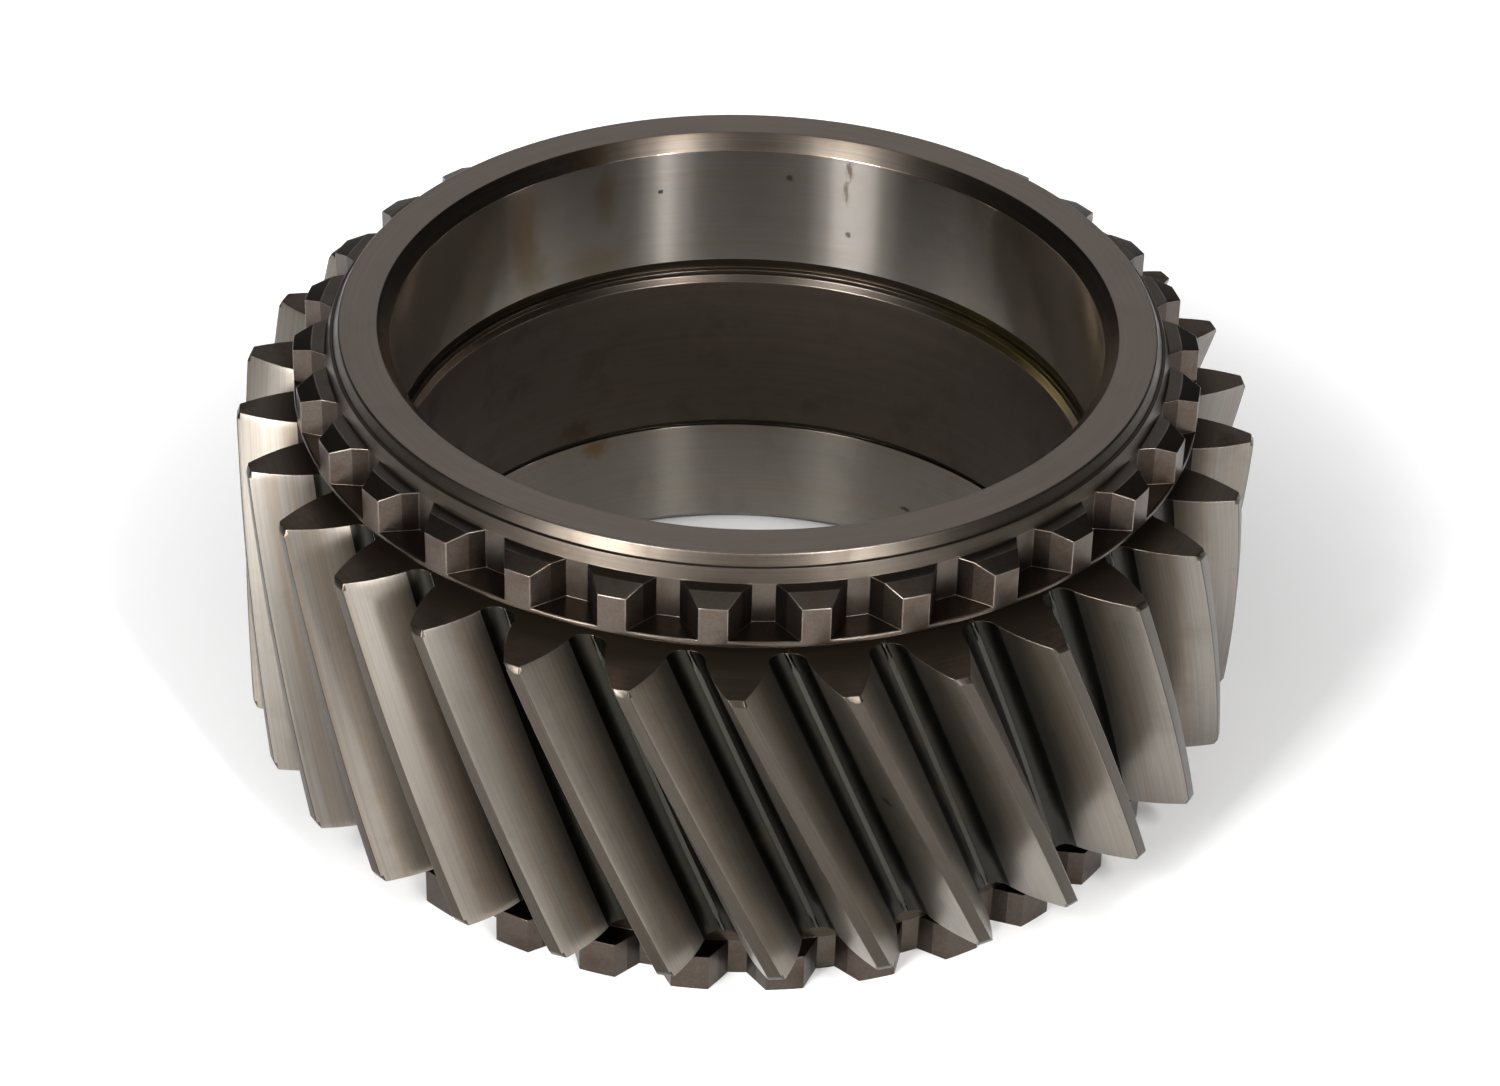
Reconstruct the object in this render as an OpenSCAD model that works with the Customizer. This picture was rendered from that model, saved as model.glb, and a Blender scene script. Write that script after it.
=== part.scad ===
// Constant mesh gear of a truck gearbox, one steel forging, turned, cut and ground.
// Left-hand helical teeth run round the middle and a ring of clutch dogs stands at each end.
// Two ground bearing seats meet a plain rib inside.
// Millimetres, +Z along the axis, origin at the centre of the lower face.
// A clutch dog of the upper ring is centred on +X.

/* [Helical teeth] */
// Number of helical teeth
gear_teeth = 30; // [26:1:34]
// Module, measured square to the teeth
normal_module = 4.5; // [4.3:0.05:4.8]
// Lean of the teeth from the axis at the pitch circle, left-hand
helix_angle = 23; // [12:1:28]
// Pressure angle, measured square to the teeth
pressure_angle = 20; // [17.5:0.5:22.5]
// Profile shift, as a share of the module
profile_shift = 0; // [-0.1:0.05:0.2]
// Height of a tooth above its pitch circle, as a share of the module
addendum = 1.25; // [0.9:0.05:1.3]
// Depth of a gap below the pitch circle, as a share of the module
dedendum = 1.32; // [1.2:0.01:1.45]
// Play taken off each tooth, along the pitch circle
tooth_thinning = 0.5; // [0:0.05:0.6]
// Radius that joins each flank to the floor of the gap
root_fillet = 2.4; // [0.8:0.1:2.6]
// Length of the teeth along the axis
face_width = 52; // [40:1:65]
// Length of the chamfer at each end of the tips, along the axis
tip_chamfer_h = 1; // [0.3:0.1:2]
// Depth of that chamfer, towards the axis
tip_chamfer_w = 0.5; // [0.2:0.1:1.5]
// Turn of the helical teeth at their upper end, from the upper dogs
gear_turn = 2.9; // [-6:0.1:6]

/* [Clutch dogs] */
// Number of dogs on each ring
dog_teeth = 30; // [24:1:32]
// Pitch diameter of the dogs
dog_pitch_d = 135; // [133:0.5:137]
// Lean of each dog's flanks from its centre line
dog_flank_angle = 30; // [15:1:35]
// Share of the pitch that a dog fills
dog_fill = 0.5; // [0.4:0.01:0.55]

/* [Upper dog ring] */
// Diameter over the upper dogs and their flange
upper_tip_d = 140; // [137:0.5:142]
// Diameter between the upper dogs
upper_root_d = 130; // [127:0.5:132]
// Height of the upper dogs above their flange
upper_dog_h = 6.6; // [4:0.1:10]
// Width of the flat turned on top of the upper dogs
dog_flat_w = 2.1; // [0.5:0.1:3]
// Fall of the slope from that flat to the tip
dog_slope_drop = 1.1; // [0.3:0.1:2.5]
// Thickness of the flange that closes the lower end of the upper dogs
flange_t = 1; // [0.6:0.1:2]
// Chamfer on the rim of the flange
flange_chamfer = 0.25; // [0.1:0.05:0.28]

/* [Lower dog ring] */
// Diameter over the lower dogs
lower_tip_d = 137.5; // [134:0.5:140]
// Diameter between the lower dogs
lower_root_d = 129.2; // [127:0.1:131]
// Height of the lower dogs
lower_dog_h = 6.4; // [4:0.1:8]
// Turn of the lower dogs from the upper ones
lower_turn = -2; // [-6:0.1:6]

/* [Rim and necks] */
// Height of the rim above the flat of the upper dogs
rim_h = 3.8; // [3:0.1:8]
// Height of the small step cut half way up the rim
rim_step_h = 2.1; // [1:0.1:2.8]
// Width of that step
rim_step_w = 0.5; // [0.2:0.1:1]
// Growth in radius of each slope of the rim, above and below the step
rim_flare = 0.75; // [0.2:0.05:1.2]
// Gap between the flange and the helical teeth
upper_neck_h = 2.9; // [1:0.1:6]
// Diameter of the neck in that gap
upper_neck_d = 132; // [126:0.5:134]
// Gap between the lower dogs and the helical teeth
lower_neck_h = 4.3; // [1:0.1:8]

/* [Bore] */
// Diameter of the two ground bearing seats
seat_d = 110; // [104:0.5:112]
// Depth of the upper seat from the rim
upper_seat_depth = 23.4; // [16:0.1:28]
// Depth of the lower seat from the lower face
lower_seat_depth = 20.2; // [14:0.1:26]
// Width of the relief groove at the inner end of each seat
relief_w = 1.9; // [0.8:0.1:3]
// Depth of the relief grooves into the wall
relief_depth = 0.6; // [0.2:0.1:1]
// Height of the rib inside the seats
rib_step = 1.2; // [1:0.1:4]
// Chamfer on the upper edge of the rib
rib_chamfer = 0.9; // [0.3:0.1:0.9]
// Height of the plain collar above that chamfer
rib_collar_h = 0.9; // [0.3:0.1:2]
// Width of the lead-in at the upper mouth
mouth_chamfer_w = 2; // [0.5:0.1:3]
// Depth of the lead-in at the upper mouth
mouth_chamfer_h = 2.4; // [0.5:0.1:4]
// Lead-in at the lower mouth
lower_chamfer = 1.6; // [0.5:0.1:2.5]

/* [Hidden] */
$fn = 120;

// Steps along one flank, along one root fillet and along the helix
flank_steps = 4;
fillet_steps = 3;
helix_slices = 7;
// Overlap of solids that are joined, and the reach of cutters past a face
joint = 0.5;

// Heights along the axis, from the lower face up
lower_face_z = lower_dog_h + lower_neck_h;
upper_face_z = lower_face_z + face_width;
flange_z = upper_face_z + upper_neck_h;
dog_floor_z = flange_z + flange_t;
dog_top_z = dog_floor_z + upper_dog_h;
top_z = dog_top_z + rim_h;

// Radii of the turned faces
upper_tip_r = upper_tip_d / 2;
upper_root_r = upper_root_d / 2;
lower_tip_r = lower_tip_d / 2;
lower_root_r = lower_root_d / 2;
rim_step_r = upper_root_r - rim_flare;
rim_r = rim_step_r - rim_step_w - rim_flare;
seat_r = seat_d / 2;
rib_r = seat_r - rib_step;

// Pitch, base, tip and root circles of the helical teeth, in the plane of rotation
pitch_r = normal_module * gear_teeth / (2 * cos(helix_angle));
plane_angle = atan(tan(pressure_angle) / cos(helix_angle));
base_r = pitch_r * cos(plane_angle);
tip_r = pitch_r + normal_module * (addendum + profile_shift);
root_r = pitch_r - normal_module * (dedendum - profile_shift);
form_r = max(base_r, root_r + root_fillet);
helix_twist = face_width * tan(helix_angle) / pitch_r * 180 / PI;

// Half the angle that a tooth fills at the pitch circle
plane_shift = 2 * profile_shift * tan(pressure_angle) / cos(helix_angle);
pitch_half_angle = (90 / gear_teeth) + (plane_shift * normal_module - tooth_thinning) / (4 * pitch_r) * 360 / PI;

// Thickness of a dog at its pitch circle
dog_pitch_w = dog_fill * PI * dog_pitch_d / dog_teeth;

// Point at radius r and angle a
function polar(r, a) = [r * cos(a), r * sin(a)];

// Involute function, in degrees, and the flank's pressure angle at radius r
function involute(a) = tan(a) * 180 / PI - a;
function flank_angle(r) = acos(min(1, base_r / r));

// Half the angle that a tooth fills at radius r
function half_angle(r) = pitch_half_angle + involute(plane_angle) - involute(flank_angle(r));

// One flank from its tip down to the form circle
function flank() = [
    for (i = [0 : flank_steps])
        let (r = tip_r + (form_r - tip_r) * i / flank_steps)
        polar(r, half_angle(r))
];

// Quarter of an ellipse from the flank's foot to the floor of the gap
function fillet() =
    let (
        foot_a = half_angle(form_r),
        reach_a = min(root_fillet / root_r * 180 / PI, 180 / gear_teeth - foot_a - 0.2),
        foot = polar(form_r, foot_a),
        corner = polar(root_r, foot_a),
        floor_end = polar(root_r, foot_a + reach_a)
    )
    [
        for (i = [1 : fillet_steps])
            let (t = 90 * i / fillet_steps)
            corner + (foot - corner) * (1 - sin(t)) + (floor_end - corner) * (1 - cos(t))
    ];

// Outline of one tooth from floor to floor, centred on +X
function tooth() =
    let (side = concat(flank(), fillet()), last = len(side) - 1)
    concat(
        [for (i = [last : -1 : 0]) [side[i].x, -side[i].y]],
        side
    );

function turned(p, a) = [p.x * cos(a) - p.y * sin(a), p.x * sin(a) + p.y * cos(a)];

// Half the width of a dog at distance r from the axis
function dog_half_w(r) = dog_pitch_w / 2 + (dog_pitch_d / 2 - r) * tan(dog_flank_angle);

module gear_outline() {
    polygon([for (k = [0 : gear_teeth - 1], p = tooth()) turned(p, 360 * k / gear_teeth)]);
}

// Turned envelope of the helical teeth, with the chamfers at their ends
module tooth_envelope() {
    out = tip_r + joint;
    slope_w = tip_chamfer_w + joint;
    slope_h = tip_chamfer_h * slope_w / tip_chamfer_w;
    translate([0, 0, lower_face_z])
        rotate_extrude()
            polygon([
                [0, 0],
                [out - slope_w, 0],
                [out, slope_h],
                [out, face_width - slope_h],
                [out - slope_w, face_width],
                [0, face_width]
            ]);
}

module helical_teeth() {
    intersection() {
        translate([0, 0, lower_face_z])
            rotate([0, 0, gear_turn + helix_twist])
                linear_extrude(height = face_width, twist = helix_twist, slices = helix_slices)
                    gear_outline();
        tooth_envelope();
    }
}

// Dogs with straight flanks, running up from height 0
module dog_prisms(inner_r, outer_r, height) {
    for (k = [0 : dog_teeth - 1])
        rotate([0, 0, 360 * k / dog_teeth])
            linear_extrude(height = height)
                polygon([
                    [inner_r, -dog_half_w(inner_r)],
                    [outer_r, -dog_half_w(outer_r)],
                    [outer_r, dog_half_w(outer_r)],
                    [inner_r, dog_half_w(inner_r)]
                ]);
}

// The upper dogs are flat beside the rim, then slope down to their tips
module upper_dogs() {
    flat_r = upper_root_r + dog_flat_w;
    intersection() {
        translate([0, 0, flange_z + flange_t / 2])
            dog_prisms(upper_root_r - joint, upper_tip_r + joint, upper_dog_h + flange_t);
        rotate_extrude()
            polygon([
                [0, flange_z],
                [upper_tip_r, flange_z],
                [upper_tip_r, dog_top_z - dog_slope_drop],
                [flat_r, dog_top_z],
                [0, dog_top_z]
            ]);
    }
}

module lower_dogs() {
    intersection() {
        rotate([0, 0, lower_turn])
            dog_prisms(lower_root_r - joint, lower_tip_r + joint, lower_dog_h);
        cylinder(r = lower_tip_r, h = lower_dog_h);
    }
}

// Everything that is turned on the outside: rim, hubs, flange and necks
module turned_blank() {
    rotate_extrude()
        polygon([
            [0, 0],
            [lower_root_r, 0],
            [lower_root_r, lower_face_z + joint],
            [upper_neck_d / 2, lower_face_z + joint],
            [upper_neck_d / 2, flange_z],
            [upper_tip_r - flange_chamfer, flange_z],
            [upper_tip_r, flange_z + flange_chamfer],
            [upper_tip_r, dog_floor_z - flange_chamfer],
            [upper_tip_r - flange_chamfer, dog_floor_z],
            [upper_root_r, dog_floor_z],
            [upper_root_r, dog_top_z],
            [rim_step_r, dog_top_z + rim_step_h],
            [rim_step_r - rim_step_w, dog_top_z + rim_step_h],
            [rim_r, top_z],
            [0, top_z]
        ]);
}

// Two seats with their relief grooves, the rib between them and the lead-ins
module stepped_bore() {
    relief_r = seat_r + relief_depth;
    collar_r = rib_r + rib_chamfer;
    shoulder_z = top_z - upper_seat_depth - relief_w;
    rib_top_z = shoulder_z - rib_collar_h - rib_chamfer;
    rotate_extrude()
        polygon([
            [0, -joint],
            [seat_r + lower_chamfer + joint, -joint],
            [seat_r, lower_chamfer],
            [seat_r, lower_seat_depth],
            [relief_r, lower_seat_depth],
            [relief_r, lower_seat_depth + relief_w],
            [rib_r, lower_seat_depth + relief_w],
            [rib_r, rib_top_z],
            [collar_r, rib_top_z + rib_chamfer],
            [collar_r, shoulder_z],
            [relief_r, shoulder_z],
            [relief_r, shoulder_z + relief_w],
            [seat_r, shoulder_z + relief_w],
            [seat_r, top_z - mouth_chamfer_h],
            [seat_r + mouth_chamfer_w, top_z],
            [seat_r + mouth_chamfer_w, top_z + joint],
            [0, top_z + joint]
        ]);
}

module gear() {
    color("dimgray")
        difference() {
            union() {
                turned_blank();
                helical_teeth();
                upper_dogs();
                lower_dogs();
            }
            stepped_bore();
        }
}

gear();
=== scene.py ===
import math

import bmesh
import bpy
from mathutils import Matrix, Vector


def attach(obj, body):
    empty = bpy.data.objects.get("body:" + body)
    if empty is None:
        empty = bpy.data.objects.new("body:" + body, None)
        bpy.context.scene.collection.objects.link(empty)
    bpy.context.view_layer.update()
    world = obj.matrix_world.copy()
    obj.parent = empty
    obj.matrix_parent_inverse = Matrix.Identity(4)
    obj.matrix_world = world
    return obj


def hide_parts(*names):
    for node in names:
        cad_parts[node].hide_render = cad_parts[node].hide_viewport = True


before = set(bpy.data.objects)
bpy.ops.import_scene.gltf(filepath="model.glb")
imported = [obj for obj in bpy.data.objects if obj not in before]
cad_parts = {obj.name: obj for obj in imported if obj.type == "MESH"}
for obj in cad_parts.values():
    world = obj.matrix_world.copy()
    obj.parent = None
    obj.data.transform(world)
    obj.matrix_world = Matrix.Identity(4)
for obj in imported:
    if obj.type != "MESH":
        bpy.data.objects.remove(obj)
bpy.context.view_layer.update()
mm = 0.001

# Camera, set from the photograph: it looks down on the gear and leans a little to one side
cameraView = {
    "photoWidth": 1500,
    "focalPixels": 4074.2,
    "sensorWidth": 36.0,
    "elevation": 32.17,
    "azimuth": -2.91,
    "roll": 1.669,
    "distance": 627.8,
    "rimHeight": 77.0,
    "aimSide": 1.27,
    "aimHeight": 34.18,
    "clipStart": 10.0,
    "clipEnd": 20000.0,
}


def makeCamera():
    view = cameraView
    rise = math.radians(view["elevation"])
    rim = Vector((0, 0, view["rimHeight"]))
    back = Vector((0, -math.cos(rise), math.sin(rise)))
    place = rim + back * view["distance"]
    aim = Vector((view["aimSide"], 0, view["aimHeight"]))
    turn = Matrix.Rotation(math.radians(view["azimuth"]), 4, "Z")
    look = (aim - place).to_track_quat("-Z", "Y").to_matrix().to_4x4()
    lean = Matrix.Rotation(math.radians(view["roll"]), 4, "Z")
    data = bpy.data.cameras.new("photoCamera")
    data.sensor_width = view["sensorWidth"]
    data.lens = view["focalPixels"] / view["photoWidth"] * view["sensorWidth"]
    data.clip_start = view["clipStart"] * mm
    data.clip_end = view["clipEnd"] * mm
    camera = bpy.data.objects.new("photoCamera", data)
    bpy.context.scene.collection.objects.link(camera)
    camera.matrix_world = turn @ Matrix.Translation(place * mm) @ look @ lean
    bpy.context.scene.camera = camera


makeCamera()
print("camera set")

# The gear in millimetres and degrees, with the values of its CAD source
gearSize = {
    "teeth": 30,
    "normalModule": 4.5,
    "helixAngle": 23.0,
    "pressureAngle": 20.0,
    "addendum": 1.25,
    "dedendum": 1.32,
    "thinning": 0.5,
    "rootFillet": 2.4,
    "leastFloor": 0.2,
    "faceWidth": 52.0,
    "tipChamferHeight": 1.0,
    "tipChamferWidth": 0.5,
    "gearTurn": 2.9,
}

dogSize = {
    "pitchRadius": 67.5,
    "flankAngle": 30.0,
    "fill": 0.5,
    "upperTip": 70.0,
    "upperRoot": 65.0,
    "upperHeight": 6.6,
    "flatWidth": 2.1,
    "slopeDrop": 1.1,
    "flange": 1.0,
    "flangeChamfer": 0.25,
    "lowerTip": 68.75,
    "lowerRoot": 64.6,
    "lowerHeight": 6.4,
    "lowerTurn": -2.0,
}

bodySize = {
    "rimHeight": 3.8,
    "rimStepHeight": 2.1,
    "rimStepWidth": 0.5,
    "rimFlare": 0.75,
    "upperNeck": 2.9,
    "upperNeckRadius": 66.0,
    "lowerNeck": 4.3,
    "seatRadius": 55.0,
    "upperSeatDepth": 23.4,
    "lowerSeatDepth": 20.2,
    "reliefWidth": 1.9,
    "reliefDepth": 0.6,
    "ribStep": 1.2,
    "ribChamfer": 0.9,
    "ribCollar": 0.9,
    "mouthWidth": 2.0,
    "mouthHeight": 2.4,
    "lowerChamfer": 1.6,
}

# How finely the curves are cut, how far the sharp edges are broken, the width of the plain rings
# that join the parts and of the narrow lines, and how near two lengths count as one
meshDetail = {
    "flankSteps": 8,
    "filletSteps": 5,
    "helixSteps": 16,
    "edgeBreak": 0.13,
    "edgeSegments": 2,
    "edgeAngle": 17.0,
    "endRingGap": 0.3,
    "lowerRingGap": 1.0,
    "ringMargin": 0.1,
    # the lighter line down the middle of each tooth gap is a painted highlight
    "rootHighlightWidth": 0.7,
    "collarLineWidth": 0.35,
    "rimEdgeWidth": 0.22,
    "wornHighlightMargin": 0.3,
    "filletMargin": 0.05,
    "near": 0.01,
    "merge": 0.002,
    "joinMerge": 0.001,
}

# Each zone of the gear's surface has a finish of its own
zones = [
    "flank", "toothTip", "shadedToothRoot", "rootHighlight", "toothEnd", "dog", "dogSide", "shadedDogGap",
    "wornEdgeAndHighlight", "turned", "slope", "rimFace", "seat", "lowerSeat", "groove", "rib",
]
near = meshDetail["near"]

sector = 360 / gearSize["teeth"]
lowerFaceZ = dogSize["lowerHeight"] + bodySize["lowerNeck"]
upperFaceZ = lowerFaceZ + gearSize["faceWidth"]
flangeZ = upperFaceZ + bodySize["upperNeck"]
dogFloorZ = flangeZ + dogSize["flange"]
dogTopZ = dogFloorZ + dogSize["upperHeight"]
topZ = dogTopZ + bodySize["rimHeight"]


def polar(radius, degrees, z):
    angle = math.radians(degrees)
    return Vector((radius * math.cos(angle), radius * math.sin(angle), z))


def angleOf(point):
    return math.degrees(math.atan2(point.y, point.x))


def startRing(bm, columns, z):
    # One sector is laid out as a few vertices, then repeated round the axis and closed
    verts = [bm.verts.new(polar(radius, degrees, z)) for radius, degrees in columns]
    edges = [bm.edges.new(pair) for pair in zip(verts, verts[1:])]
    count = gearSize["teeth"]
    bmesh.ops.spin(
        bm, geom=verts + edges, cent=(0, 0, 0), axis=(0, 0, 1), dvec=(0, 0, 0),
        angle=math.radians(360 - sector), steps=count - 1, use_merge=False, use_duplicate=True,
    )
    bmesh.ops.remove_doubles(bm, verts=bm.verts[:], dist=meshDetail["joinMerge"])
    return bm.edges[:]


def nextRing(bm, edges, place, zone):
    # Extrudes the ring, puts each new vertex in its place, and names the finish of the new faces
    made = bmesh.ops.extrude_edge_only(bm, edges=edges)["geom"]
    verts = {item for item in made if isinstance(item, bmesh.types.BMVert)}
    for vert in verts:
        vert.co = place(vert.co)
    for item in made:
        if isinstance(item, bmesh.types.BMFace):
            item.material_index = zones.index(zone)
    return [item for item in made if isinstance(item, bmesh.types.BMEdge) and set(item.verts) <= verts]


def lathe(bm, edges, steps):
    # Each step is a radius and a height, either a number or a rule of the angle, and a finish
    for radius, z, zone in steps:
        def place(point, radius=radius, z=z):
            degrees = angleOf(point)
            newRadius = radius(degrees) if callable(radius) else radius
            newZ = z(newRadius) if callable(z) else z
            return polar(newRadius, degrees, newZ)
        edges = nextRing(bm, edges, place, zone)
    return edges


def dogFlank():
    # The straight flank beside a dog's centre line: its lean, and its distance from that line at the axis
    lean = math.tan(math.radians(dogSize["flankAngle"]))
    half = dogSize["fill"] * math.pi * dogSize["pitchRadius"] / gearSize["teeth"]
    return lean, half + dogSize["pitchRadius"] * lean


def dogAngle(radius):
    # Where a dog's flank crosses a circle, from the dog's centre line
    lean, reach = dogFlank()
    square = 1 + lean * lean
    inside = (reach * lean) ** 2 - square * (reach * reach - radius * radius)
    x = (reach * lean + math.sqrt(inside)) / square
    return math.degrees(math.atan2(reach - lean * x, x))


def dogRadius(degrees, root, tip, turn):
    # Radius of the dogs' outline at an angle: tip, straight flank or root
    lean, reach = dogFlank()
    local = (degrees - turn + sector / 2) % sector - sector / 2
    away = math.radians(abs(local))
    onFlank = reach / (lean + math.tan(away)) / math.cos(away)
    return min(tip, max(root, onFlank))


def dogColumns(radius, root, tip, between, turn):
    # Columns of one sector, with one on each corner of the dog
    tipAngle = dogAngle(tip)
    rootAngle = dogAngle(root)
    gapQuarter = (rootAngle + sector / 2) / 2
    half = [0, tipAngle / 2, tipAngle, dogAngle(between), rootAngle, gapQuarter, sector / 2]
    angles = [-a for a in reversed(half[1:])] + half
    return [(radius, a + turn) for a in angles]


def buildUpper():
    # Neck, flange, upper dogs, rim and the whole bore
    size = bodySize
    root = dogSize["upperRoot"]
    tip = dogSize["upperTip"]
    flat = root + dogSize["flatWidth"]
    chamfer = dogSize["flangeChamfer"]
    stepRadius = root - size["rimFlare"]
    rimRadius = stepRadius - size["rimStepWidth"] - size["rimFlare"]
    seat = size["seatRadius"]
    relief = seat + size["reliefDepth"]
    rib = seat - size["ribStep"]
    collar = rib + size["ribChamfer"]
    upperSeatEnd = topZ - size["upperSeatDepth"]
    shoulder = upperSeatEnd - size["reliefWidth"]
    ribTop = shoulder - size["ribCollar"] - size["ribChamfer"]
    ribFoot = size["lowerSeatDepth"] + size["reliefWidth"]
    rimEdge = meshDetail["rimEdgeWidth"]

    def outline(degrees):
        return dogRadius(degrees, root, tip, 0)

    def flangeEdge(degrees):
        return tip if outline(degrees) > tip - near else tip - chamfer

    def underFlat(degrees):
        return min(flat, outline(degrees))

    def dogTop(radius):
        return dogTopZ - dogSize["slopeDrop"] * max(0, radius - flat) / (tip - flat)

    bm = bmesh.new()
    edges = startRing(bm, dogColumns(size["upperNeckRadius"], root, tip, flat, 0), upperFaceZ)
    lathe(bm, edges, [
        (size["upperNeckRadius"], flangeZ, "groove"),
        (tip - chamfer, flangeZ, "groove"),
        (tip, flangeZ + chamfer, "dogSide"),
        (tip, dogFloorZ - chamfer, "dogSide"),
        (flangeEdge, dogFloorZ, "dog"),
        (outline, dogFloorZ, "shadedDogGap"),
        (outline, dogTop, "dogSide"),
        (underFlat, dogTopZ, "dog"),
        (root, dogTopZ, "dog"),
        (stepRadius, dogTopZ + size["rimStepHeight"], "slope"),
        (stepRadius - size["rimStepWidth"], dogTopZ + size["rimStepHeight"], "slope"),
        (rimRadius, topZ - rimEdge, "slope"),
        # the rim's edge chamfer is lighter: worn steel and a painted edge highlight
        (rimRadius - rimEdge, topZ, "wornEdgeAndHighlight"),
        (seat + size["mouthWidth"], topZ, "rimFace"),
        (seat, topZ - size["mouthHeight"], "turned"),
        (seat, upperSeatEnd, "seat"),
        (relief, upperSeatEnd, "groove"),
        (relief, shoulder, "groove"),
        (collar, shoulder, "turned"),
        (collar, ribTop + size["ribChamfer"] + meshDetail["collarLineWidth"], "turned"),
        (collar, ribTop + size["ribChamfer"], "groove"),
        (rib, ribTop, "turned"),
        (rib, ribFoot, "rib"),
        (relief, ribFoot, "groove"),
        (relief, size["lowerSeatDepth"], "groove"),
        (seat, size["lowerSeatDepth"], "groove"),
        (seat, size["lowerChamfer"], "lowerSeat"),
        (seat + size["lowerChamfer"], 0, "turned"),
    ])
    bmesh.ops.remove_doubles(bm, verts=bm.verts[:], dist=meshDetail["merge"])
    paintDogs(bm, root)
    return bm


def paintDogs(bm, root):
    # Splits the upright walls: dog between the dogs, a darker zone at the foot of each flank,
    # whose darkness is painted shade, and dogSide on the rest
    for face in bm.faces:
        if face.material_index == zones.index("dogSide"):
            radii = [math.hypot(v.co.x, v.co.y) for v in face.verts]
            if max(radii) < root + near:
                face.material_index = zones.index("dog")
            elif min(radii) < root + near:
                face.material_index = zones.index("shadedDogGap")


def buildLower():
    # Lower face, lower dogs and the neck up to the teeth
    size = bodySize
    root = dogSize["lowerRoot"]
    tip = dogSize["lowerTip"]
    turn = dogSize["lowerTurn"]
    inner = size["seatRadius"] + size["lowerChamfer"] + meshDetail["lowerRingGap"]

    def outline(degrees):
        return dogRadius(degrees, root, tip, turn)

    bm = bmesh.new()
    edges = startRing(bm, dogColumns(inner, root, tip, (root + tip) / 2, turn), 0)
    lathe(bm, edges, [
        (outline, 0, "dogSide"),
        (outline, dogSize["lowerHeight"], "dogSide"),
        (root, dogSize["lowerHeight"], "dogSide"),
        (root, lowerFaceZ, "groove"),
    ])
    bmesh.ops.remove_doubles(bm, verts=bm.verts[:], dist=meshDetail["merge"])
    paintDogs(bm, root)
    return bm


def toothColumns():
    # Half of a tooth, from the middle of its tip to the middle of the gap:
    # tip, chamfer line, involute flank, elliptical fillet, floor, and the edge of the lighter line down the
    # gap's middle, a painted highlight
    size = gearSize
    helix = math.radians(size["helixAngle"])
    pitch = size["normalModule"] * size["teeth"] / (2 * math.cos(helix))
    plane = math.atan(math.tan(math.radians(size["pressureAngle"])) / math.cos(helix))
    base = pitch * math.cos(plane)
    tip = pitch + size["normalModule"] * size["addendum"]
    root = pitch - size["normalModule"] * size["dedendum"]
    form = max(base, root + size["rootFillet"])
    chamfer = tip - size["tipChamferWidth"]
    pitchHalf = math.pi / (2 * size["teeth"]) - size["thinning"] / (2 * pitch)

    def halfAngle(radius):
        slope = math.acos(min(1, base / radius))
        return pitchHalf + (math.tan(plane) - plane) - (math.tan(slope) - slope)

    columns = [(tip, 0), (tip, math.degrees(halfAngle(tip))), (chamfer, math.degrees(halfAngle(chamfer)))]
    for step in range(1, meshDetail["flankSteps"] + 1):
        radius = chamfer + (form - chamfer) * step / meshDetail["flankSteps"]
        columns.append((radius, math.degrees(halfAngle(radius))))
    footAngle = halfAngle(form)
    reach = min(size["rootFillet"] / root, math.radians(sector / 2 - size["leastFloor"]) - footAngle)
    foot = polar(form, math.degrees(footAngle), 0)
    corner = polar(root, math.degrees(footAngle), 0)
    floorEnd = polar(root, math.degrees(footAngle + reach), 0)
    for step in range(1, meshDetail["filletSteps"] + 1):
        turn = math.pi / 2 * step / meshDetail["filletSteps"]
        down = (foot - corner) * (1 - math.sin(turn))
        across = (floorEnd - corner) * (1 - math.cos(turn))
        point = corner + down + across
        columns.append((point.length, angleOf(point)))
    columns.append((root, sector / 2 - math.degrees(meshDetail["rootHighlightWidth"] / 2 / root)))
    columns.append((root, sector / 2))
    twist = math.degrees(size["faceWidth"] * math.tan(helix) / pitch)
    return columns, chamfer, form, root, tip, twist


def twisted(degrees, z):
    # A rule that turns a point round the axis and gives it a height
    step = Matrix.Rotation(math.radians(degrees), 3, "Z")
    return lambda point: Vector((*(step @ point).xy, z))


def buildTeeth():
    # The helical band: end face, chamfer, slices along the helix, chamfer, end face
    half, chamfer, form, root, tip, twist = toothColumns()
    columns = [(radius, -degrees) for radius, degrees in reversed(half[1:])] + half
    upperInner = bodySize["upperNeckRadius"] + meshDetail["endRingGap"]
    lowerInner = dogSize["lowerRoot"] + meshDetail["endRingGap"]
    rise = gearSize["tipChamferHeight"]
    width = gearSize["faceWidth"]
    turn = gearSize["gearTurn"] + twist * (width - rise) / width
    slices = meshDetail["helixSteps"]
    heights = [rise + (width - 2 * rise) * i / slices for i in range(slices)] + [width - rise]

    def pulled(point):
        radius = math.hypot(point.x, point.y)
        return polar(min(radius, chamfer), angleOf(point), point.z)

    bm = bmesh.new()
    lowRing = startRing(bm, [(radius, degrees + turn) for radius, degrees in columns], lowerFaceZ + rise)
    highRing = lowRing
    for low, high in zip(heights, heights[1:]):
        place = twisted(-twist * (high - low) / width, lowerFaceZ + high)
        highRing = nextRing(bm, highRing, place, "flank")
    sides = ((lowRing, lowerFaceZ, 1, lowerInner), (highRing, upperFaceZ, -1, upperInner))
    for edges, z, side, inner in sides:
        place = twisted(side * twist * rise / width, z)
        edges = nextRing(bm, edges, lambda point, place=place: pulled(place(point)), "flank")
        nextRing(bm, edges, lambda point, inner=inner: polar(inner, angleOf(point), point.z), "toothEnd")
    paintTeeth(bm, chamfer, form, root, tip, twist)
    return bm


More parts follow.
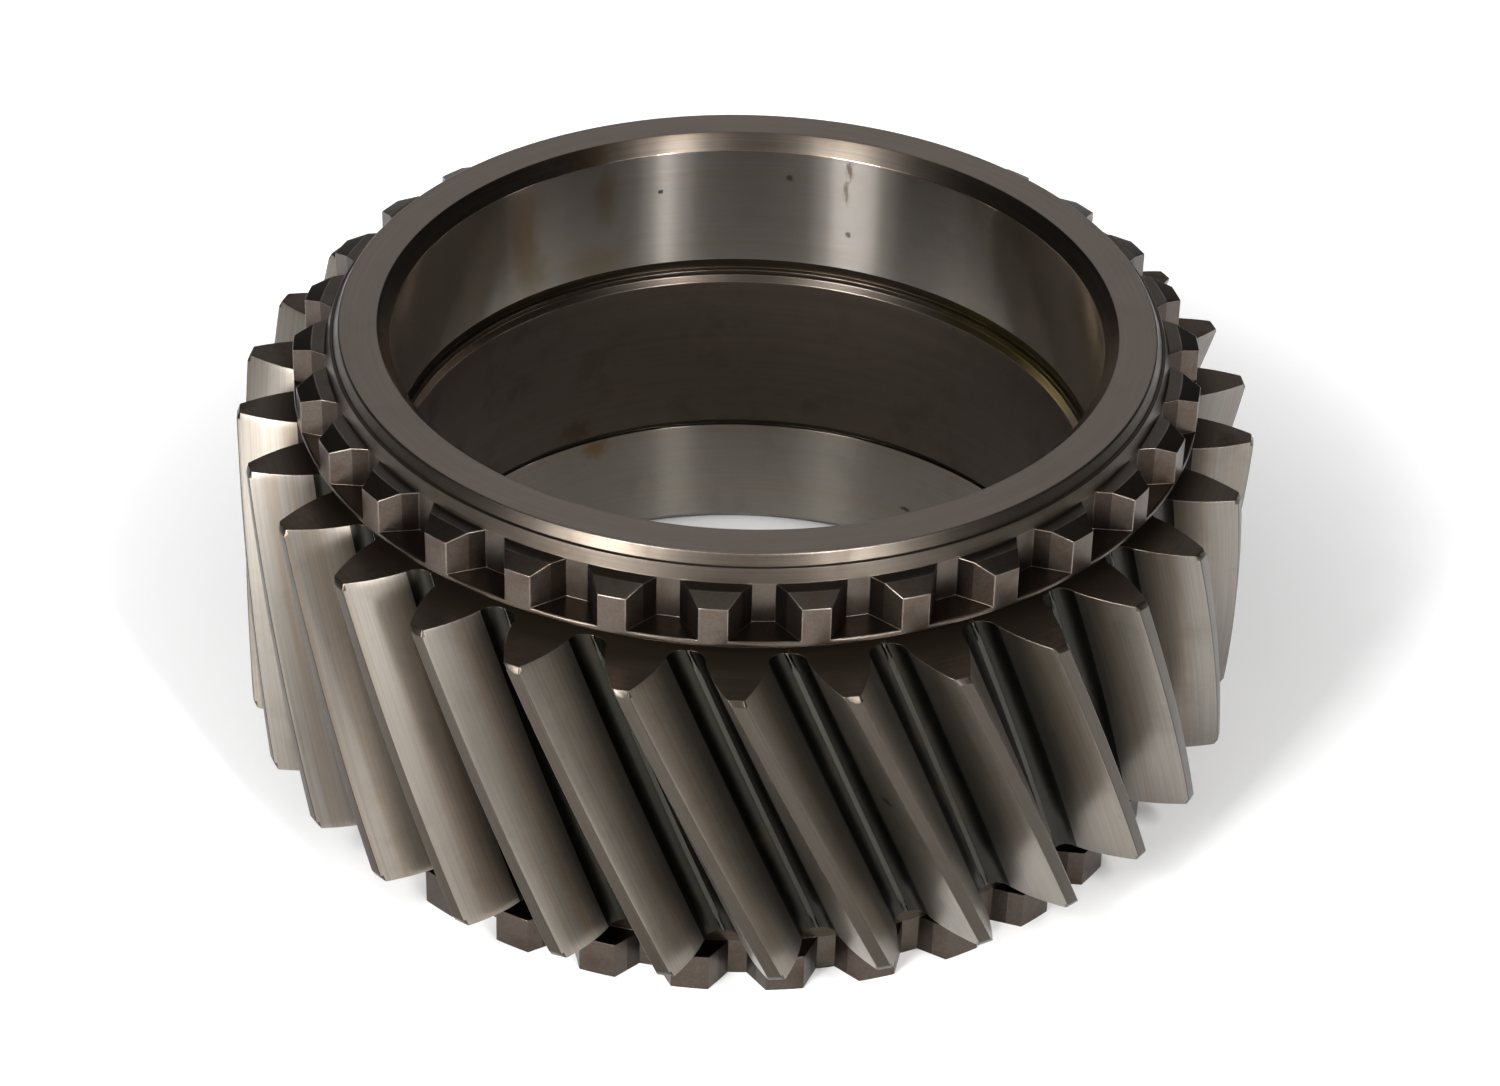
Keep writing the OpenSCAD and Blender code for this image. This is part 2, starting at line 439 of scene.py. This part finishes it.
def paintTeeth(bm, chamfer, form, root, tip, twist):
    # Splits the toothed wall into flank, tip, root, darkened as painted shade, and the line down the middle
    # of the gap, lighter as a painted highlight
    highlightHalf = math.degrees(meshDetail["rootHighlightWidth"] / 2 / root)
    rise = gearSize["tipChamferHeight"]
    for face in bm.faces:
        if face.material_index != zones.index("flank"):
            continue
        radii = sorted(math.hypot(v.co.x, v.co.y) for v in face.verts)
        centre = face.calc_center_median()
        if radii[0] > chamfer - near:
            atEnd = not lowerFaceZ + rise < centre.z < upperFaceZ - rise
            face.material_index = zones.index("toothTip" if atEnd or radii[1] > tip - near else "flank")
        elif radii[-1] < form + meshDetail["filletMargin"]:
            turn = gearSize["gearTurn"] + twist * (upperFaceZ - centre.z) / gearSize["faceWidth"]
            fromMiddle = (angleOf(centre) - turn) % sector - sector / 2
            onHighlight = radii[-1] < root + near and abs(fromMiddle) < highlightHalf
            face.material_index = zones.index("rootHighlight" if onHighlight else "shadedToothRoot")


def boundaryRing(bm, z, low, high):
    # Open edges at a height, between two radii
    found = []
    for edge in bm.edges:
        if edge.is_boundary and all(
            abs(v.co.z - z) < near and low < math.hypot(v.co.x, v.co.y) < high for v in edge.verts
        ):
            found.append(edge)
    return found


def joinRings(bm, z, radius, gap, zone):
    # Closes the flat ring between two parts that have different columns
    margin = meshDetail["ringMargin"]
    edges = boundaryRing(bm, z, radius - margin, radius + gap + margin)
    made = bmesh.ops.bridge_loops(bm, edges=edges)["faces"]
    for face in made:
        face.material_index = zones.index(zone)


def buildGear():
    bm = bmesh.new()
    for part in (buildUpper(), buildLower(), buildTeeth()):
        mesh = bpy.data.meshes.new("part")
        part.to_mesh(mesh)
        part.free()
        bm.from_mesh(mesh)
        bpy.data.meshes.remove(mesh)
    joinRings(bm, upperFaceZ, bodySize["upperNeckRadius"], meshDetail["endRingGap"], "toothEnd")
    joinRings(bm, lowerFaceZ, dogSize["lowerRoot"], meshDetail["endRingGap"], "toothEnd")
    mouth = bodySize["seatRadius"] + bodySize["lowerChamfer"]
    joinRings(bm, 0, mouth, meshDetail["lowerRingGap"], "dog")
    bmesh.ops.dissolve_degenerate(bm, edges=bm.edges[:], dist=meshDetail["joinMerge"])
    bmesh.ops.recalc_face_normals(bm, faces=bm.faces[:])
    breakEdges(bm)
    bmesh.ops.scale(bm, vec=(mm, mm, mm), verts=bm.verts[:])
    for face in bm.faces:
        face.smooth = True
    mesh = bpy.data.meshes.new("gearBody")
    bm.to_mesh(mesh)
    bm.free()
    gear = bpy.data.objects.new("gearBody", mesh)
    bpy.context.scene.collection.objects.link(gear)
    gear.modifiers.new("evenNormals", "WEIGHTED_NORMAL")
    return gear


def breakEdges(bm):
    # Fine rounding of every machined edge, apart from the smooth run of the root fillets.
    # The rounding of the upper dogs is lighter, as worn steel and as a painted edge highlight, and that of
    # the tooth tips is like the tips.
    root = zones.index("shadedToothRoot")
    sharp = []
    for edge in bm.edges:
        if not edge.is_manifold or edge.calc_face_angle(0) < math.radians(meshDetail["edgeAngle"]):
            continue
        if all(face.material_index == root for face in edge.link_faces):
            continue
        sharp.append(edge)
    rounded = bmesh.ops.bevel(
        bm, geom=sharp, offset=meshDetail["edgeBreak"], offset_type="OFFSET",
        segments=meshDetail["edgeSegments"], profile=0.5, affect="EDGES", material=-1,
        clamp_overlap=False, loop_slide=False,
    )["faces"]
    tipRadius = max(vert.co.xy.length for vert in bm.verts)
    margin = meshDetail["wornHighlightMargin"]
    for face in rounded:
        centre = face.calc_center_median()
        if centre.xy.length > dogSize["upperRoot"] + margin and centre.z > dogFloorZ + margin:
            face.material_index = zones.index("wornEdgeAndHighlight")
        elif centre.xy.length > tipRadius - meshDetail["edgeBreak"]:
            face.material_index = zones.index("toothTip")


gear = buildGear()
print("gear body built")

# Steel finishes, one for each zone of the gear; colours are linear, lengths in millimetres
# grain: how the machining marks run, "round" on walls, "rings" on faces, "lead" along the teeth,
# "plain" for none; streak: how far they change the colour
# tint: share of brown streaks, grime: share of dark patches; the last value is the share of painted shade
# towards the tooth roots and under the flange
finishes = {
    "flank": {"colour": (0.225, 0.205, 0.179), "rough": 0.29, "anisotropy": 0.6, "grain": "lead",
              "grainSize": 0.34, "streak": 0.09, "bump": 0.0005, "tint": 0.40, "grime": 0.18, "paintedShade": 0.15},
    "toothTip": {"colour": (0.062, 0.053, 0.044), "rough": 0.32, "anisotropy": 0.3, "grain": "lead",
                 "grainSize": 0.3, "streak": 0.08, "bump": 0.0006, "tint": 0.4, "grime": 0.25, "paintedShade": 0.0},
    # Near-black root fillets: painted shade in the tooth gaps
    "shadedToothRoot": {"colour": (0.018, 0.017, 0.014), "rough": 0.30, "anisotropy": 0.3, "grain": "lead",
                  "grainSize": 0.5, "streak": 0.15, "bump": 0.0006, "tint": 0.0, "grime": 0.3, "paintedShade": 0.0},
    # The lighter line down the middle of each gap is a painted highlight of the round root
    "rootHighlight": {"colour": (0.044, 0.042, 0.036), "rough": 0.24, "anisotropy": 0.3, "grain": "lead",
                 "grainSize": 0.5, "streak": 0.15, "bump": 0.0006, "tint": 0.0, "grime": 0.4, "paintedShade": 0.0},
    "toothEnd": {"colour": (0.098, 0.078, 0.063), "rough": 0.42, "anisotropy": 0.2, "grain": "rings",
                 "grainSize": 0.35, "streak": 0.10, "bump": 0.0010, "tint": 0.3, "grime": 0.7, "paintedShade": 0.95},
    "dog": {"colour": (0.075, 0.063, 0.053), "rough": 0.31, "anisotropy": 0.15, "grain": "plain",
            "grainSize": 0.4, "streak": 0.08, "bump": 0.0010, "tint": 0.4, "grime": 0.35, "paintedShade": 0.0},
    "dogSide": {"colour": (0.078, 0.063, 0.053), "rough": 0.33, "anisotropy": 0.15, "grain": "plain",
                "grainSize": 0.5, "streak": 0.10, "bump": 0.0015, "tint": 0.4, "grime": 0.5, "paintedShade": 0.0},
    # Dark dog flanks: painted shade in the gaps between the dogs
    "shadedDogGap": {"colour": (0.038, 0.030, 0.025), "rough": 0.34, "anisotropy": 0.15, "grain": "plain",
               "grainSize": 0.5, "streak": 0.12, "bump": 0.0015, "tint": 0.3, "grime": 0.6, "paintedShade": 0.0},
    # Lighter edges: worn steel, and a painted highlight along the edges
    "wornEdgeAndHighlight": {"colour": (0.150, 0.129, 0.112), "rough": 0.28, "anisotropy": 0.0, "grain": "plain",
                 "grainSize": 0.3, "streak": 0.15, "bump": 0.0006, "tint": 0.3, "grime": 0.5, "paintedShade": 0.0},
    "turned": {"colour": (0.102, 0.086, 0.072), "rough": 0.28, "anisotropy": 0.5, "grain": "round",
               "grainSize": 0.3, "streak": 0.12, "bump": 0.0010, "tint": 0.4, "grime": 0.3, "paintedShade": 0.0},
    "slope": {"colour": (0.072, 0.060, 0.049), "rough": 0.34, "anisotropy": 0.2, "grain": "round",
              "grainSize": 0.3, "streak": 0.08, "bump": 0.0010, "tint": 0.5, "grime": 0.5, "paintedShade": 0.0},
    "rimFace": {"colour": (0.252, 0.215, 0.190), "rough": 0.42, "anisotropy": 0.3, "grain": "rings",
                "grainSize": 0.35, "streak": 0.05, "bump": 0.0010, "tint": 0.15, "grime": 0.06, "paintedShade": 0.0},
    "seat": {"colour": (0.560, 0.515, 0.470), "rough": 0.20, "anisotropy": 1.0, "grain": "round",
             "grainSize": 0.3, "streak": 0.04, "bump": 0.0003, "tint": 0.15, "grime": 0.08, "paintedShade": 0.0},
    "lowerSeat": {"colour": (0.230, 0.210, 0.182), "rough": 0.29, "anisotropy": 1.0, "grain": "round",
                  "grainSize": 0.2, "streak": 0.03, "bump": 0.0001, "tint": 0.25, "grime": 0.15, "paintedShade": 0.0},
    "groove": {"colour": (0.048, 0.039, 0.029), "rough": 0.36, "anisotropy": 0.2, "grain": "round",
               "grainSize": 0.4, "streak": 0.2, "bump": 0.0015, "tint": 0.3, "grime": 0.5, "paintedShade": 0.0},
    "rib": {"colour": (0.079, 0.063, 0.052), "rough": 0.50, "anisotropy": 0.1, "grain": "round",
            "grainSize": 0.9, "streak": 0.05, "bump": 0.001, "tint": 0.15, "grime": 0.35, "paintedShade": 0.0},
}

# How the machining marks, the brown tint, the dark grime with the painted shade towards the tooth roots, and
# the edge of a stain look on every finish;
# each span is the part of the noise over which the pattern comes in
grainLook = {
    "length": 80.0,
    "detail": 3.0,
    "mix": 0.6,
    "span": (0.3, 0.7),
    "roughSpread": 0.02,
}

tintLook = {
    "colour": (1.0, 0.80, 0.62),
    "size": 2.25,
    "detail": 2.0,
    "span": (0.45, 0.70),
}

grimeAndShadeLook = {
    "colour": (0.040, 0.029, 0.020),
    "size": 9.0,
    "detail": 4.0,
    "mix": 0.6,
    "span": (0.48, 0.72),
    "rough": 0.15,
    # radii of the painted shade under the flange: full inside the first, none beyond the second
    "shadeFullRadius": 69.5,
    "shadeClearRadius": 75.5,
}

raggedLook = {
    "scale": 2.2,
    "detail": 3.0,
}


def addNode(tree, kind, inputs=None, **settings):
    # Makes a node, sets its options, and gives each input a value or a link
    made = tree.nodes.new(kind)
    for name, value in settings.items():
        setattr(made, name, value)
    for key, value in (inputs or {}).items():
        socket = made.inputs[key]
        if isinstance(value, bpy.types.NodeSocket):
            tree.links.new(value, socket)
        else:
            socket.default_value = value
    return made


def sums(tree, operation, a, b=0.0):
    return addNode(tree, "ShaderNodeMath", {0: a, 1: b}, operation=operation).outputs[0]


def ramp(tree, value, low, high, toLow=0.0, toHigh=1.0):
    inputs = {"Value": value, "From Min": low, "From Max": high, "To Min": toLow, "To Max": toHigh}
    return addNode(tree, "ShaderNodeMapRange", inputs, interpolation_type="SMOOTHSTEP").outputs[0]


def vectors(tree, operation, a, b=(0.0, 0.0, 0.0)):
    return addNode(tree, "ShaderNodeVectorMath", {0: a, 1: b}, operation=operation).outputs


def mapping(tree, vector, scale):
    return addNode(tree, "ShaderNodeMapping", {"Vector": vector, "Scale": scale}).outputs[0]


def fromAxis(tree, place):
    return vectors(tree, "MULTIPLY", place, (1.0, 1.0, 0.0))[0]


def blend(tree, share, a, b, blendType="MIX"):
    inputs = {0: share, 6: a, 7: b}
    return addNode(tree, "ShaderNodeMix", inputs, data_type="RGBA", blend_type=blendType).outputs[2]


def noise(tree, vector, scale, detail, roughness=0.5):
    inputs = {"Vector": vector, "Scale": scale, "Detail": detail, "Roughness": roughness}
    return addNode(tree, "ShaderNodeTexNoise", inputs).outputs[0]


def grainVector(tree, place, kind, size):
    # Coordinates in which the machining marks are long one way and fine across
    fine = 1 / (size * mm)
    slow = fine / grainLook["length"]
    x, y, z = addNode(tree, "ShaderNodeSeparateXYZ", {0: place}).outputs
    if kind == "round":
        return mapping(tree, place, (slow, slow, fine))
    if kind == "rings":
        squares = sums(tree, "ADD", sums(tree, "MULTIPLY", x, x), sums(tree, "MULTIPLY", y, y))
        radius = sums(tree, "SQRT", squares)
        rings = addNode(tree, "ShaderNodeCombineXYZ", {0: x, 1: y, 2: radius}).outputs[0]
        return mapping(tree, rings, (slow, slow, fine))
    if kind == "lead":
        helix = math.radians(gearSize["helixAngle"])
        pitch = gearSize["normalModule"] * gearSize["teeth"] / (2 * math.cos(helix)) * mm
        turn = sums(tree, "MULTIPLY", z, math.tan(helix) / pitch)
        inputs = {"Vector": place, "Angle": turn}
        unrolled = addNode(tree, "ShaderNodeVectorRotate", inputs, rotation_type="Z_AXIS").outputs[0]
        return mapping(tree, unrolled, (fine, fine, slow))
    return mapping(tree, place, (fine, fine, fine))


def grainTangent(tree, place, kind):
    # Highlights spread across the marks: up a wall, and along the radius on faces and teeth
    if kind == "round":
        return addNode(tree, "ShaderNodeCombineXYZ", {2: 1.0}).outputs[0]
    return vectors(tree, "NORMALIZE", fromAxis(tree, place))[0]


# Stains, specks and wear: the finish they lie on, place and reach across and up in millimetres,
# colour, how much of the steel they cover, and how ragged and how soft their edge is
marks = {
    "boreStrip": {"on": "seat", "at": (-34.9, 42.5, 65.0), "across": 3.6, "up": 12.5,
                  "colour": (0.440, 0.315, 0.215), "share": 0.95, "ragged": 0.9, "soft": 0.8},
    "boreStripFoot": {"on": "seat", "at": (-33.6, 43.5, 57.0), "across": 4.5, "up": 6.0,
                      "colour": (0.370, 0.315, 0.195), "share": 0.7, "ragged": 0.8, "soft": 0.9},
    "boreShade": {"on": "seat", "at": (-21.5, 50.6, 68.0), "across": 3.0, "up": 8.0,
                  "colour": (0.400, 0.320, 0.240), "share": 0.8, "ragged": 0.9, "soft": 0.9},
    "boreLowTint": {"on": "seat", "at": (-23.5, 49.7, 55.5), "across": 8.0, "up": 4.5,
                    "colour": (0.470, 0.395, 0.270), "share": 0.8, "ragged": 0.9, "soft": 0.9},
    "mouthStain": {"on": "turned", "at": (-24.8, 50.6, 75.8), "across": 7.0, "up": 4.0,
                   "colour": (0.075, 0.050, 0.032), "share": 0.85, "ragged": 1.2, "soft": 0.8},
    "lowerStain": {"on": "lowerSeat", "at": (-23.2, 49.9, 18.6), "across": 3.2, "up": 3.2,
                   "colour": (0.190, 0.120, 0.062), "share": 0.85, "ragged": 1.4, "soft": 0.8},
    "ribFootStain": {"on": "rib", "at": (-26.4, 46.9, 24.2), "across": 3.6, "up": 3.2,
                     "colour": (0.055, 0.036, 0.022), "share": 0.7, "ragged": 1.2, "soft": 0.8},
    "speckTop": {"on": "seat", "at": (18.7, 51.7, 72.6), "across": 0.9, "up": 2.1,
                 "colour": (0.140, 0.100, 0.070), "share": 0.8, "ragged": 2.0, "soft": 0.7},
    "speckMiddle": {"on": "seat", "at": (18.3, 51.9, 68.4), "across": 0.7, "up": 2.8,
                    "colour": (0.170, 0.125, 0.085), "share": 0.7, "ragged": 2.0, "soft": 0.7},
    "speckLow": {"on": "seat", "at": (18.9, 51.7, 60.4), "across": 0.7, "up": 0.7,
                 "colour": (0.080, 0.056, 0.034), "share": 0.8, "ragged": 1.4, "soft": 0.6},
    "speckBack": {"on": "seat", "at": (9.0, 54.3, 69.8), "across": 0.8, "up": 0.8,
                  "colour": (0.080, 0.070, 0.058), "share": 0.7, "ragged": 1.4, "soft": 0.6},
    "speckLeft": {"on": "seat", "at": (-12.4, 53.6, 67.5), "across": 0.6, "up": 0.5,
                  "colour": (0.040, 0.032, 0.024), "share": 0.9, "ragged": 1.4, "soft": 0.5},
    "lowerSpeck": {"on": "lowerSeat", "at": (30.4, 45.8, 8.7), "across": 1.2, "up": 0.5,
                   "colour": (0.040, 0.032, 0.024), "share": 0.85, "ragged": 1.4, "soft": 0.5},
    "collarOil": {"on": "turned", "at": (46.5, 29.5, 51.0), "across": 24.0, "up": 3.5,
                  "colour": (0.105, 0.085, 0.030), "share": 0.8, "ragged": 0.5, "soft": 0.5},
    "grooveOil": {"on": "groove", "at": (46.5, 29.5, 52.0), "across": 24.0, "up": 3.5,
                  "colour": (0.075, 0.056, 0.016), "share": 0.7, "ragged": 0.5, "soft": 0.5},
    "grooveLeft": {"on": "groove", "at": (-34.1, 43.5, 52.0), "across": 11.0, "up": 3.5,
                   "colour": (0.050, 0.031, 0.017), "share": 0.7, "ragged": 0.6, "soft": 0.6},
    "flankSpeck": {"on": "flank", "at": (18.6, -72.0, 39.6), "across": 1.5, "up": 1.1,
                   "colour": (0.020, 0.016, 0.013), "share": 1.0, "ragged": 0.9, "soft": 0.5},
    "tipMark": {"on": "toothTip", "at": (75.3, -12.6, 59.6), "across": 0.9, "up": 0.9,
                "colour": (0.040, 0.030, 0.024), "share": 0.8, "ragged": 1.4, "soft": 0.4},
}


def markShare(tree, place, mark):
    # One inside the mark, falling to nothing at its ragged edge
    across = 1 / (mark["across"] * mm)
    up = 1 / (mark["up"] * mm)
    centre = tuple(value * mm for value in mark["at"])
    away = vectors(tree, "SUBTRACT", place, centre)[0]
    inMark = vectors(tree, "MULTIPLY", away, (across, across, up))[0]
    length = vectors(tree, "LENGTH", inMark)["Value"]
    waver = sums(tree, "SUBTRACT", noise(tree, inMark, raggedLook["scale"], raggedLook["detail"]), 0.5)
    edge = sums(tree, "ADD", length, sums(tree, "MULTIPLY", waver, mark["ragged"]))
    return ramp(tree, edge, 1.0, 1.0 - mark["soft"], 0.0, mark["share"])


def makeSteel(name, look):
    steel = bpy.data.materials.new(name)
    steel.use_nodes = True
    tree = steel.node_tree
    tree.nodes.clear()
    place = addNode(tree, "ShaderNodeTexCoord").outputs["Object"]
    grainPlace = grainVector(tree, place, look["grain"], look["grainSize"])
    grain = noise(tree, grainPlace, 1.0, grainLook["detail"], grainLook["mix"])
    cloud = noise(tree, place, 1 / (grimeAndShadeLook["size"] * mm), grimeAndShadeLook["detail"], grimeAndShadeLook["mix"])
    shade = ramp(tree, grain, *grainLook["span"], 1 - look["streak"], 1 + look["streak"])
    shades = addNode(tree, "ShaderNodeCombineXYZ", {0: shade, 1: shade, 2: shade}).outputs[0]
    colour = blend(tree, 1.0, (*look["colour"], 1.0), shades, "MULTIPLY")
    if look["tint"]:
        tintPlace = grainVector(tree, place, look["grain"], tintLook["size"])
        streaks = noise(tree, tintPlace, 1.0, tintLook["detail"])
        brown = sums(tree, "MULTIPLY", ramp(tree, streaks, *tintLook["span"]), look["tint"])
        colour = blend(tree, brown, colour, (*tintLook["colour"], 1.0), "MULTIPLY")
    dirtAndShade = sums(tree, "MULTIPLY", ramp(tree, cloud, *grimeAndShadeLook["span"]), look["grime"])
    # Painted shade: darker towards the axis, under the flange and down the flanks to the roots, merged with
    # the dirt
    if look["paintedShade"]:
        radius = vectors(tree, "LENGTH", fromAxis(tree, place))["Value"]
        clear = grimeAndShadeLook["shadeClearRadius"] * mm
        paintedShade = ramp(tree, radius, clear, grimeAndShadeLook["shadeFullRadius"] * mm, 0.0, look["paintedShade"])
        dirtAndShade = sums(tree, "MAXIMUM", dirtAndShade, paintedShade)
    colour = blend(tree, dirtAndShade, colour, (*grimeAndShadeLook["colour"], 1.0))
    for mark in marks.values():
        if mark["on"] == name:
            colour = blend(tree, markShare(tree, place, mark), colour, (*mark["colour"], 1.0))
    spread = look["rough"] * grainLook["roughSpread"]
    grainRough = ramp(tree, grain, *grainLook["span"], look["rough"] - spread, look["rough"] + spread)
    rough = sums(tree, "ADD", grainRough, sums(tree, "MULTIPLY", dirtAndShade, grimeAndShadeLook["rough"]))
    bump = addNode(tree, "ShaderNodeBump", {"Height": grain, "Strength": 1.0, "Distance": look["bump"] * mm})
    shader = addNode(tree, "ShaderNodeBsdfPrincipled", {
        "Base Color": colour,
        "Metallic": 1.0,
        "Roughness": rough,
        "Anisotropic": look["anisotropy"],
        "Normal": bump.outputs[0],
        "Tangent": grainTangent(tree, place, look["grain"]),
    })
    output = addNode(tree, "ShaderNodeOutputMaterial", {"Surface": shader.outputs[0]})
    output.is_active_output = True
    return steel


for zone in zones:
    gear.data.materials.append(makeSteel(zone, finishes[zone]))

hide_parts("gear")
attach(gear, "root")
print("finishes set")

# Pale floor that glows a little away from the gear, a dim sky and soft panels; lengths in metres
studioLook = {
    "floorHalf": 3.0,
    "floorColour": (0.93, 0.93, 0.93),
    "floorRough": 0.7,
    "floorGlow": 0.50,
    "glowStart": 0.085,
    "glowFull": 0.19,
    "skyColour": (1.0, 0.985, 0.97),
    "skyStrength": 0.04,
}

# Each light: bearing left of the camera and height in degrees, distance and size in metres, brightness.
# The lights at 21 and 43 degrees make the bright bands of the upper and the lower bearing seat.
softLights = {
    "leftBox": {"bearing": 33.5, "height": 21.0, "distance": 0.9,
                "width": 0.24, "tall": 0.26, "bright": 46.0},
    "leftLow": {"bearing": 31.5, "height": 5.5, "distance": 0.9,
                "width": 0.60, "tall": 0.19, "bright": 1.05},
    "rightStrip": {"bearing": -28.3, "height": 21.0, "distance": 0.9,
                   "width": 0.09, "tall": 0.26, "bright": 52.0},
    "rightLow": {"bearing": -30.0, "height": 4.5, "distance": 0.9,
                 "width": 0.48, "tall": 0.15, "bright": 1.35},
    "leftHigh": {"bearing": 32.5, "height": 43.0, "distance": 0.9,
                 "width": 0.17, "tall": 0.16, "bright": 36.0},
    "rightHigh": {"bearing": -27.3, "height": 43.0, "distance": 0.9,
                  "width": 0.07, "tall": 0.20, "bright": 70.0},
    "frontPanel": {"bearing": 0.0, "height": 28.0, "distance": 1.4,
                   "width": 2.8, "tall": 1.3, "bright": 0.50},
    "overhead": {"bearing": 0.0, "height": 85.0, "distance": 1.4,
                 "width": 1.1, "tall": 1.0, "bright": 0.8},
    "backPanel": {"bearing": 180.0, "height": 33.0, "distance": 1.5,
                  "width": 1.3, "tall": 0.75, "bright": 0.55},
}


def makeFloor():
    bm = bmesh.new()
    bmesh.ops.create_grid(bm, x_segments=1, y_segments=1, size=studioLook["floorHalf"])
    mesh = bpy.data.meshes.new("floor")
    bm.to_mesh(mesh)
    bm.free()
    floor = bpy.data.objects.new("floor", mesh)
    bpy.context.scene.collection.objects.link(floor)
    pale = bpy.data.materials.new("paleFloor")
    pale.use_nodes = True
    tree = pale.node_tree
    shader = tree.nodes["Principled BSDF"]
    place = addNode(tree, "ShaderNodeTexCoord").outputs["Object"]
    away = vectors(tree, "LENGTH", place)["Value"]
    glow = ramp(tree, away, studioLook["glowStart"], studioLook["glowFull"], 0.0, studioLook["floorGlow"])
    tree.links.new(glow, shader.inputs["Emission Strength"])
    shader.inputs["Base Color"].default_value = (*studioLook["floorColour"], 1.0)
    shader.inputs["Roughness"].default_value = studioLook["floorRough"]
    shader.inputs["Emission Color"].default_value = (1.0, 1.0, 1.0, 1.0)
    mesh.materials.append(pale)


def makeSky():
    sky = bpy.data.worlds.new("studioSky")
    sky.use_nodes = True
    back = sky.node_tree.nodes["Background"]
    back.inputs["Color"].default_value = (*studioLook["skyColour"], 1.0)
    back.inputs["Strength"].default_value = studioLook["skyStrength"]
    bpy.context.scene.world = sky


def makeLights():
    middle = Vector((0, 0, topZ / 2)) * mm
    for name, look in softLights.items():
        data = bpy.data.lights.new(name, "AREA")
        data.shape = "RECTANGLE"
        data.size = look["width"]
        data.size_y = look["tall"]
        data.energy = look["bright"] * math.pi * look["width"] * look["tall"]
        lamp = bpy.data.objects.new(name, data)
        bpy.context.scene.collection.objects.link(lamp)
        bearing = math.radians(cameraView["azimuth"] - 90 - look["bearing"])
        height = math.radians(look["height"])
        level = math.cos(height)
        away = Vector((math.cos(bearing) * level, math.sin(bearing) * level, math.sin(height)))
        lamp.location = middle + away * look["distance"]
        lamp.rotation_euler = (-away).to_track_quat("-Z", "Y").to_euler()
        lamp.visible_camera = False


makeFloor()
makeSky()
makeLights()
bpy.context.scene.view_settings.view_transform = "Standard"
print("studio set")
